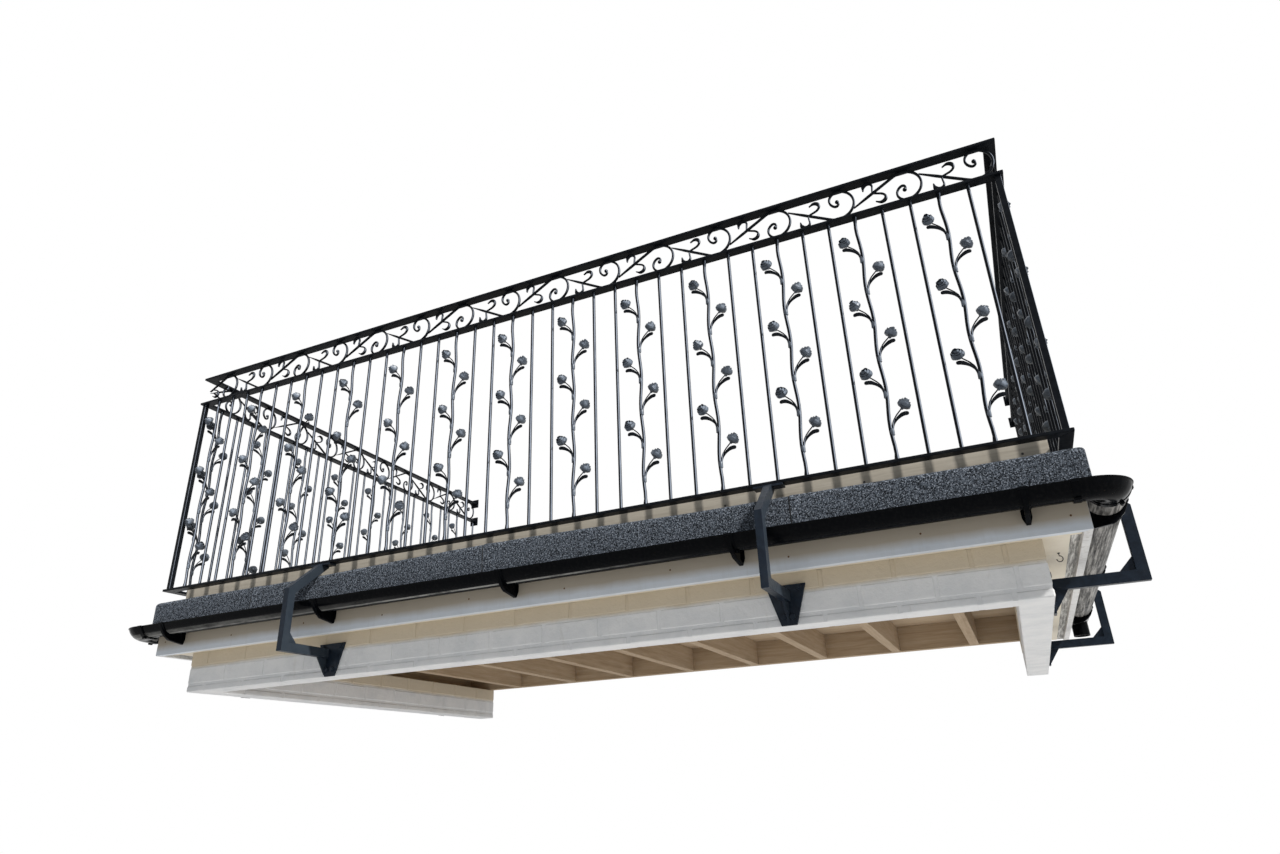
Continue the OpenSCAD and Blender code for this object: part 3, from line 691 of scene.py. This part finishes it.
def rose():
    """A cup of three rings of petals round a rolled bud, centred on the middle of its depth."""
    depth = 28
    made = Shape()
    start = rng.uniform(0, 2 * math.pi)
    rings = ((5, rose_d / 2 + 4, 0.86, 23, 0.35, 0.0), (5, rose_d * 0.50, 0.86, 29, 0.6, 0.8),
             (3, rose_d * 0.33, 1.25, 33, 0.9, 2.0))
    for ring, (count, reach, spread, rise, curl, tilt) in enumerate(rings):
        for k in range(count):
            turn = start + 0.62 * ring + 2 * math.pi * k / count + rng.uniform(-0.12, 0.12)
            own_reach, own_rise = reach * rng.uniform(0.92, 1.0), rise * rng.uniform(0.9, 1.05)
            petal(made, turn, own_reach, spread, own_rise, curl, tilt)
    petal(made, start, 4.2, 2.6, depth + 0.5, 0.4, 3.0)
    made.copy(ball_at(0, 0, 5.5, 1.0, 10))
    made.points[:, 1] += depth / 2 * MM
    return made.tidied()


def rose_stem(kinds):
    """One waved stem with its stalks, and its roses, leaves and joints, from the base rail up."""
    h = bar_h / MM
    pitch = (h - first_rose - last_rose) / (roses - 1)
    top = h - first_rose
    iron, flowers = Shape(), Shape()

    def wave(z):
        return stem_wave * min(1, z / 60, (h - z) / 60) * math.sin((top - z) / pitch * math.pi)

    points = [(wave(h * i / 40), h * i / 40) for i in range(41)]
    wide = bar_t / MM
    sweep(iron, curve_through(points, 1), lambda t: (wide + 5 * max(0, 1 - min(t, 1 - t) * 260),) * 2, 14)
    blade = ([0, 0.2, 0.4, 0.65, 0.88, 0.96, 1], [6, 5.5, 9.5, 15, 15, 10.5, 4])
    leans = ((0.1, 0.4), (0.6, 0.9), (0.35, 0.6)), ((0.4, 0.65), (0.0, 0.3), (0.7, 0.95))
    for k in range(roses):
        z = top - k * pitch
        s = 1 if k % 2 else -1
        out, forth, up = leans[k % 2]
        lean = Vector((s * rng.uniform(*out), -rng.uniform(*forth), rng.uniform(*up))).normalized()
        foot = (s * rose_x - 9 * lean.x, z - 9 * lean.z)
        stalk = curve_through([(s * 3, z - 96), (s * 4, z - 72), (s * 8.5, z - 52), (s * 15, z - 40),
                               (s * 24, z - 28), foot], 4)
        sweep(iron, stalk, lambda t: (8.5 - 4.2 * min(1, t * 1.8), 9 - 4.5 * min(1, t * 1.8)), 10,
              1.0, lambda t: -9 * lean.y * t * t)
        droop = rng.uniform(-3, 2)
        leaf = curve_through([(s * 4, z - 76), (s * 9, z - 60), (s * 20, z - 45.5), (s * 36, z - 35),
                              (s * 49, z - 31 + droop / 2), (s * 60, z - 31 + droop)], 4)
        swing = rng.uniform(-6, 2)
        sweep(iron, leaf, lambda t: (float(np.interp(t, *blade)), 3.4 - 1.6 * t), 8, 0.85,
              lambda t: swing * t * t + 1.4 * math.sin(7 * t))
        flowers.copy(ball_at(s * 3 + wave(z - 86), z - 86, 7.8, 2.2, 12))
        turn = Vector((0, -1, 0)).rotation_difference(lean).to_matrix().to_4x4()
        flowers.copy(rng.choice(kinds), Matrix.Translation((s * rose_x * MM, 0, z * MM)) @ turn)
    return iron, flowers


rose_kinds = [rose() for _ in range(6)]
stem_kinds = [rose_stem(rose_kinds) for _ in range(4)]


def stem_row(side, last):
    iron, flowers = Shape(), Shape()
    for i in range(1, last + 1):
        if i % stem_step == 1:
            at = placed(side) @ Matrix.Translation((i * bar_pitch, 0, rail_z))
            for shape, kind in zip((iron, flowers), rng.choice(stem_kinds)):
                shape.copy(kind, at)
    add_piece(side + "_stems", iron, "black_paint", [side + "_rose_stems"], 60, False)
    add_piece(side + "_roses", flowers, "rose_paint", (), 28, False)


for side in SIDES:
    stem_row(side, front_gaps - 1 if side == "front" else side_gaps)

# Rails, posts, plates and brackets
for side in SIDES:
    for part in ("top", "mid", "base"):
        dress(f"{side}_{part}_rail", "black_paint", 1.4 * MM, 3)
    dress(side + "_brackets", "slate_paint", 1.8 * MM)
dress("corner_posts", "black_paint", 1.6 * MM, 3)
dress("wall_plates", "black_paint", 2 * MM)


# Felted kerb
def swell(x, z):
    """How far the felt is dressed up over the front kerb, by hand and so a little uneven."""
    top = min(1.0, max(0.0, (z - kerb_high.z + 3 * kerb_r) / (2 * kerb_r)))
    far = (x - swell_x) / (swell_left if x < swell_x else swell_right)
    return top * (swell_h * math.exp(-far ** 2) + ripple * math.sin(7 * x) - 1 * MM)


def kerb(side):
    """The kerb with its edges rounded, cut every 90 mm so that the front can swell."""
    bm = copy_of(side + "_kerb")
    soften(bm, 3 * MM, 3, 60)
    along = Vector((1, 0, 0)) if side == "front" else Vector((0, 1, 0))
    start, stop = (corner.dot(along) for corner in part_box(side + "_kerb"))
    count = round((stop - start) / (90 * MM))
    for k in range(1, count):
        cut = along * (start + (stop - start) * k / count)
        bmesh.ops.bisect_plane(bm, geom=bm.verts[:] + bm.edges[:] + bm.faces[:], plane_co=cut, plane_no=along)
    if side == "front":
        for v in bm.verts:
            v.co.z += swell(v.co.x, v.co.z)
    add_piece(side + "_kerb.shape", Shape(bm), "mineral_felt", [side + "_kerb"])


def over_kerb(sections):
    """A strip of felt over the front kerb, from sections along X with their thickness over it."""
    out, top, back = kerb_low.y, kerb_high.z, kerb_high.y
    outline = [(out, kerb_low.z + 4 * MM)]
    for k in range(9):
        a = math.pi - math.pi / 2 * k / 8
        outline.append((out + kerb_r + kerb_r * math.cos(a), top - kerb_r + kerb_r * math.sin(a)))
    outline.append((back - 2 * MM, top))
    points, faces, n = [], [], len(outline)
    for x, thick in sections:
        for grow in (thick, -1 * MM):
            for y, z in outline:
                away = Vector((min(0.0, y - out - kerb_r), max(0.0, z - top + kerb_r))).normalized()
                points.append((x, y + away.x * grow, z + away.y * grow + swell(x, z)))
    for a in range(0, len(points) - 2 * n, 2 * n):
        for k in range(n - 1):
            faces.append((a + k, a + 2 * n + k, a + 2 * n + k + 1, a + k + 1))
            faces.append((a + n + k, a + n + k + 1, a + 3 * n + k + 1, a + 3 * n + k))
        for k in (0, n - 1):
            faces.append((a + k, a + 2 * n + k, a + 3 * n + k, a + n + k))
    for k in range(n - 1):
        for a in (0, len(points) - 2 * n):
            faces.append((a + k, a + k + 1, a + n + k + 1, a + n + k))
    made = Shape()
    made.add(points, faces)
    return made.tidied()


for side in SIDES:
    kerb(side)
laps, seams = Shape(), Shape()
for x in felt_laps:
    laps.copy(over_kerb([(x, 1.2 * MM), (x + 2 * MM, 2.4 * MM), (x + 70 * MM, 0.1 * MM)]))
    seams.copy(over_kerb([(x - 4 * MM, 0.3 * MM), (x - 1 * MM, 1.4 * MM), (x + 0.5 * MM, 1.8 * MM)]))
add_piece("felt_laps", laps, "mineral_felt", smooth=50)
add_piece("felt_seams", seams, "bitumen", smooth=50)


# Deck
def boards(name, node, width, gap, edge, material):
    """Boards along X that fill a node's box side by side. Gives where each starts and how wide they are."""
    low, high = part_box(node)
    floor = Shape()
    count = round((high.y - low.y + gap) / (width + gap))
    pitch = (high.y - low.y + gap) / count
    starts = [low.y + i * pitch for i in range(count)]
    for y in starts:
        floor.copy(block((low.x, y, low.z), (high.x, y + pitch - gap, high.z), edge), None, rng.random())
    add_piece(name, floor, material, [node])
    return starts, pitch - gap


def row_of(start, stop, count):
    return [start + (stop - start) * k / (count - 1) for k in range(count)]


starts, wide = boards("deck_boards", "decking", deck_w, deck_gap, 3 * MM, "deck_board")
screws, head = Shape(), disc(4.2 * MM, 0.6 * MM, 10)
for x in row_of(deck_low.x + timber_t / 2, deck_high.x - timber_t / 2, bearer_count):
    for y in starts:
        for across in (0.2, 0.8):
            at = (x + rng.uniform(-4, 4) * MM, y + wide * across, deck_high.z)
            screws.copy(head, Matrix.Translation(at))
edge_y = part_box("front_edge_board")[0].y
for k in range(-3, 4):
    at = (edge_screw_x + edge_screw_pitch * k, edge_y, edge_screw_z + rng.uniform(-3, 3) * MM)
    screws.copy(disc(4 * MM, 1.2 * MM), aimed((0, -1, 0), at))
add_piece("deck_screws", screws, "dark_steel")

boards("roof_boards", "roof_boarding", roof_w, roof_gap, 1 * MM, "sawn_across")
dress("wall_ledger", "sawn_across", 2 * MM)
dress("joists", "sawn_along", 2 * MM)
dress("deck_bearers", "sawn_along", 2 * MM)
for side in SIDES:
    turned = "" if side == "front" else "_side"
    dress(side + "_edge_board", "deck_board" + turned, 2.5 * MM)
    dress(side + "_fascia", "white_board" + turned, 2 * MM)

nails, head = Shape(), disc(3.2 * MM, 0.9 * MM, 10)
for k, x in enumerate(row_of(soffit_low.x + timber_t / 2, soffit_high.x - timber_t / 2, joist_count)):
    nails.copy(head, aimed((0, -1, 0), (x, fascia_low.y, nail_rows[k % 2] + rng.uniform(-4, 4) * MM)))
add_piece("fascia_nails", nails, "rusty_steel")


# Soffit and its hook
def soffit():
    """Cream boards, and beside the side fascias a streaked grey strip that lies a little higher."""
    low, high = soffit_low, soffit_high
    strip, play, front_in = 29 * MM, 0.5 * MM, wall_low.y
    cream, grey = Shape(), Shape()
    cream.copy(block((low.x, low.y, low.z), (high.x, front_in - play, high.z), 1.2 * MM))
    for s, face, outer in ((-1, wall_low.x, low.x), (1, wall_high.x, high.x)):
        split = outer - s * strip
        a, b = sorted((split - s * play, face))
        cream.copy(block((a, front_in, low.z), (b, high.y, high.z), 1.2 * MM))
        a, b = sorted((outer, split))
        grey.copy(block((a, front_in, low.z + 2 * MM), (b, high.y, high.z), 0.8 * MM))
    add_piece("soffit_cream_boards", cream, "soffit_board", ["soffit_boards"])
    add_piece("soffit_strips", grey, "streaked_strip")


def cup_hook():
    """A shank with a ring at its end, left open for 96 degrees, and a collar against the soffit."""
    r, z, wire = 9, soffit_low.z, Shape()
    path = [(hook_x, hook_y, z + 1 * MM), (hook_x, hook_y, z - 4 * MM), (hook_x, hook_y, z - r * MM)]
    for k in range(13):
        a = math.radians(90 - 22 * k)
        path.append((hook_x + r * math.cos(a) * MM, hook_y, z - (2 * r - r * math.sin(a)) * MM))
    tube(wire, path, 1.3 * MM)
    wire.copy(disc(4.5 * MM, 2 * MM), aimed((0, 0, -1), (hook_x, hook_y, z)))
    add_piece("cup_hook", wire, "black_paint")


soffit()
cup_hook()


# Head of the painted brick wall
def bricks_along(start, stop):
    """The ends of each brick of a course, whose last brick takes up what is left."""
    ends = []
    while start < stop - 30 * MM:
        end = min(start + brick - joint, stop)
        if stop - end < 60 * MM:
            end = stop
        ends.append((start, end))
        start = end + joint
    return ends


def wall_head():
    """Courses of bricks in stretcher bond, set a little proud of their mortar."""
    low, high = wall_low, wall_high
    sink, edge, jitter = 3 * MM, 5 * MM, 0.5 * MM
    wall = Shape()
    inside = low.y + wall_t - sink
    for x0, y0, x1, y1 in ((low.x + sink, low.y + sink, high.x - sink, inside),
                           (low.x + sink, inside, low.x + wall_t - sink, high.y - sink),
                           (high.x - wall_t + sink, inside, high.x - sink, high.y - sink)):
        wall.copy(block((x0, y0, low.z + 1 * MM), (x1, y1, high.z - 0.5 * MM)))
    rows = math.ceil((high.z - low.z) / course)
    for row in range(rows):
        top = high.z - (rows - 1 - row) * course
        z = max(top - course + joint, low.z)
        inset = 0 if row % 2 else wall_t + joint
        for a, b in bricks_along(low.x + inset, high.x - inset):
            wall.copy(block((a, low.y, z), (b, low.y + wall_t, top), edge, jitter))
        for x in (low.x, high.x - wall_t):
            for a, b in bricks_along(low.y + wall_t + joint - inset, high.y):
                wall.copy(block((x, a, z), (x + wall_t, b, top), edge, jitter))
    wall.points = np.clip(wall.points, low, high)
    add_piece("brick_courses", wall, "painted_wall", ["wall_head"], 50)


wall_head()

# Gutter
for node in ("front_gutter", "left_gutter", "gutter_corners", "gutter_stop_end", "gutter_outlet"):
    dress(node, "gutter_plastic", 0)
# The right gutter's pale streaks are partly dust and partly a painted reflection.
dress("right_gutter", "dust_and_sheen_plastic", 0)
dress("gutter_hangers", "black_plastic", 0.8 * MM)


def under(r, angle):
    """The point in Y and Z at a radius round the trough's middle, at an angle below its outer side."""
    a = math.radians(angle)
    return gutter_in - r * math.cos(a), trough_z - r * math.sin(a)


def corner_lip(shape, matrix):
    """The lip round a corner piece, outside its quarter turn."""
    pivot, reach, rim = gutter_in + fitting_half, 2 * fitting_half, gutter_in - fitting_half
    turns = (math.radians(a) for a in range(-90, -181, -6))
    points = [(pivot + reach * math.cos(a), pivot + reach * math.sin(a)) for a in turns]
    points = [(corner_leg, rim), *points, (rim, corner_leg)]
    tube(shape, [matrix @ Vector((x, y, rim_z - 1 * MM)) for x, y in points], 2 * MM)


def strap(shape, matrix, x, width, radii, first, last):
    """A strap round the outside of the trough, from one angle below the rim to another."""
    steps, points, faces = 16, [], []
    for k in range(steps + 1):
        for r in radii:
            at = under(r, first + (last - first) * k / steps)
            points += [matrix @ Vector((w, *at)) for w in (x - width / 2, x + width / 2)]
    for a in range(0, 4 * steps, 4):
        faces += [(a, a + 4, a + 5, a + 1), (a + 2, a + 3, a + 7, a + 6),
                  (a, a + 2, a + 6, a + 4), (a + 1, a + 5, a + 7, a + 3)]
    faces += [(0, 1, 3, 2), (4 * steps, 4 * steps + 2, 4 * steps + 3, 4 * steps + 1)]
    made = Shape()
    made.add(points, faces)
    shape.copy(made.tidied())


def slab(outline, x0, x1):
    """An outline in Y and Z, made as thick as a span of X, with its rims rounded."""
    bm = bmesh.new()
    ends = [[bm.verts.new((x, y, z)) for y, z in outline] for x in (x0, x1)]
    for k in range(len(outline)):
        n = (k + 1) % len(outline)
        bm.faces.new((ends[0][k], ends[0][n], ends[1][n], ends[1][k]))
    rims = [bm.faces.new(ends[0][::-1]), bm.faces.new(ends[1])]
    bmesh.ops.bevel(bm, geom=[e for f in rims for e in f.edges], offset=1.5 * MM, segments=2, profile=0.5,
                    affect="EDGES", clamp_overlap=True)
    bmesh.ops.triangulate(bm, faces=[f for f in bm.faces if len(f.verts) > 4])
    return Shape(bm)


def gutter_fittings():
    """Lips on the gutter's rims, clips at its joints with a lug below, and ribs and hooks at the hangers."""
    lips, clips, ribs = Shape(), Shape(), Shape()
    rise = math.degrees(math.asin((trough_z - rim_z) / fitting_r))
    rim, face, foot = gutter_in - fitting_half, fascia_low.y - front_y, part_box("gutter_hangers")[0].z
    belly = ((14, 0.0), (30, 2.5), (50, 7), (68, 13), (84, 20))
    rib = [under(fitting_r + d * MM, a) for a, d in belly]
    rib += [(face - 12 * MM, foot + 2 * MM), (face - 5 * MM, foot), (face, foot)]
    rib += [under(fitting_r, a) for a in range(140, 13, -9)]
    lug = under(fitting_r + 3.5 * MM, 66)

    def hook(at, x, half, out, back, down):
        low, high = (x - half, rim - out, rim_z - down), (x + half, rim + back, rim_z + 1.5 * MM)
        clips.copy(block(low, high, 1 * MM), at)

    for side in SIDES:
        at = placed(side)
        first, last, joints = corner_leg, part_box(side + "_gutter")[1].y - front_y, [(corner_leg, -1)]
        run_end, count = hanger_last, side_hangers
        if side == "front":
            last, run_end, count = 2 * half_w - corner_leg, 2 * half_w - hanger_first, front_hangers
            joints.append((last, 1))
        ends = [(x, gutter_in - gutter_half, rim_z - 1 * MM) for x in (first, last)]
        tube(lips, [at @ Vector(p) for p in ends], 2 * MM)
        for x, outward in joints:
            x += outward * 11 * MM
            strap(clips, at, x, 20 * MM, (fitting_r - 0.5 * MM, fitting_r + 1.8 * MM), rise, 180 - rise)
            tube(clips, [at @ Vector((x + d * MM, *lug)) for d in (-8, -7, 7, 8)], 5.5 * MM, 12)
            hook(at, x, 10 * MM, 2.5 * MM, 4 * MM, 9 * MM)
        for x in row_of(hanger_first, run_end, count):
            hook(at, x, 14 * MM, 1.5 * MM, 6 * MM, 7 * MM)
            ribs.copy(slab(rib, x - 7 * MM, x + 7 * MM), at)
    for side in ("left", "right"):
        corner_lip(lips, placed(side))
    add_piece("gutter_lips", lips, "black_plastic")
    add_piece("gutter_clips", clips, "black_plastic")
    add_piece("hanger_ribs", ribs, "black_plastic")


gutter_fittings()


# Bolts on the plates of the brackets, and screws on the wall plates of the railing
def bolts():
    """A wide pair above and a narrow pair below on each trapezoid plate."""
    made = Shape()
    nut, washer = disc(9.2 * MM, 6.5 * MM, 6, 0.92), disc(11.5 * MM, 1.6 * MM, 20)
    pairs = [(s * out, z) for out, z in zip((44 * MM, 14 * MM), plate_z) for s in (-1, 1)]

    def bolt(direction, point):
        turned = aimed(direction, point)
        made.copy(washer, turned)
        made.copy(nut, turned @ Matrix.Translation((0, 0, 1.5 * MM)))

    for x in front_plates:
        for out, z in pairs:
            bolt((0, -1, 0), (x + out, wall_low.y - plate_t, z))
    for s, face in ((-1, wall_low.x), (1, wall_high.x)):
        for y in side_plates:
            for out, z in pairs:
                bolt((s, 0, 0), (face + s * plate_t, front_y + y + out, z))
    add_piece("plate_bolts", made, "slate_paint")


def wall_screws():
    """Four screws round the middle of each rail's end."""
    screws, head = Shape(), disc(5 * MM, 2.2 * MM)
    low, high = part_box("wall_plates")
    for s in (-1, 1):
        for z in (rail_z, mid_z, high.z - 25 * MM):
            for across in (-21, 21):
                for up in (-20, 20):
                    at = (s * half_w + across * MM, low.y, z - rail_t / 2 + up * MM)
                    screws.copy(head, aimed((0, -1, 0), at))
    add_piece("wall_plate_screws", screws, "black_paint")


bolts()
wall_screws()


# Floor, light and camera
def stage():
    """A pale floor that fades out toward its rim."""
    radius = 9
    bm = bmesh.new()
    bmesh.ops.create_circle(bm, cap_ends=True, segments=96, radius=radius)
    mesh = bpy.data.meshes.new("floor")
    bm.to_mesh(mesh)
    bm.free()
    floor = bpy.data.objects.new("floor", mesh)
    floor.location = (0, -1.2, -2.4)
    scene.collection.objects.link(floor)
    s = Shader("pale_floor")
    s.finish(s.ramp(s.noise(3, 3), (0.3, 0.78), (0.7, 0.82)), 0.8)
    inside = {"Vector": s.stretched((1 / radius,) * 3)}
    near = s.add("ShaderNodeTexGradient", inside, gradient_type="SPHERICAL").outputs["Fac"]
    fade = s.ramp(near, (0.0, 0.0), (0.35, 1.0))
    clear = s.add("ShaderNodeBsdfTransparent").outputs[0]
    blend = s.add("ShaderNodeMixShader", {0: fade, 1: clear, 2: s.bsdf.outputs[0]})
    feed(s.tree.nodes["Material Output"], {"Surface": blend.outputs[0]})
    mesh.materials.append(s.material)


def world():
    """A soft light from all round, before a white background."""
    made = scene.world = bpy.data.worlds.new("studio")
    made.use_nodes = True
    tree = made.node_tree
    tree.nodes.clear()
    rays = add_node(tree, "ShaderNodeLightPath").outputs
    seen = rays["Is Camera Ray"]
    for kind in ("Is Transmission Ray", "Is Glossy Ray"):
        seen = add_node(tree, "ShaderNodeMath", {0: seen, 1: rays[kind]}, operation="MAXIMUM").outputs[0]
    light = add_node(tree, "ShaderNodeBackground", {0: (0.93, 0.965, 1.0, 1), 1: 0.32}).outputs[0]
    white = add_node(tree, "ShaderNodeBackground", {0: (1, 1, 1, 1)}).outputs[0]
    mixed = add_node(tree, "ShaderNodeMixShader", {0: seen, 1: light, 2: white}).outputs[0]
    add_node(tree, "ShaderNodeOutputWorld", {0: mixed})


def sun():
    data = bpy.data.lights.new("key", "SUN")
    data.energy = 3.8
    data.angle = math.radians(2)
    data.color = (1.0, 0.975, 0.94)
    lamp = bpy.data.objects.new("key", data)
    lamp.rotation_euler = Vector(TO_SUN).to_track_quat("Z", "Y").to_euler()
    scene.collection.objects.link(lamp)


def camera():
    """The photograph's own view, solved from the railing, the kerb, the gutter and the fascia."""
    place = (1.59027, -4.77665, -0.68147)
    right, up, back = (0.9099, 0.4133, -0.0361), (0.1972, -0.3542, 0.9142), (0.365, -0.8389, -0.4038)
    data = bpy.data.cameras.new("camera")
    data.sensor_width = 36
    data.lens = 22.823
    data.clip_end = 200
    made = bpy.data.objects.new("camera", data)
    made.matrix_world = Matrix.Translation(place) @ Matrix((right, up, back)).transposed().to_4x4()
    scene.collection.objects.link(made)
    scene.camera = made


stage()
world()
sun()
camera()
scene.view_settings.view_transform = "Standard"
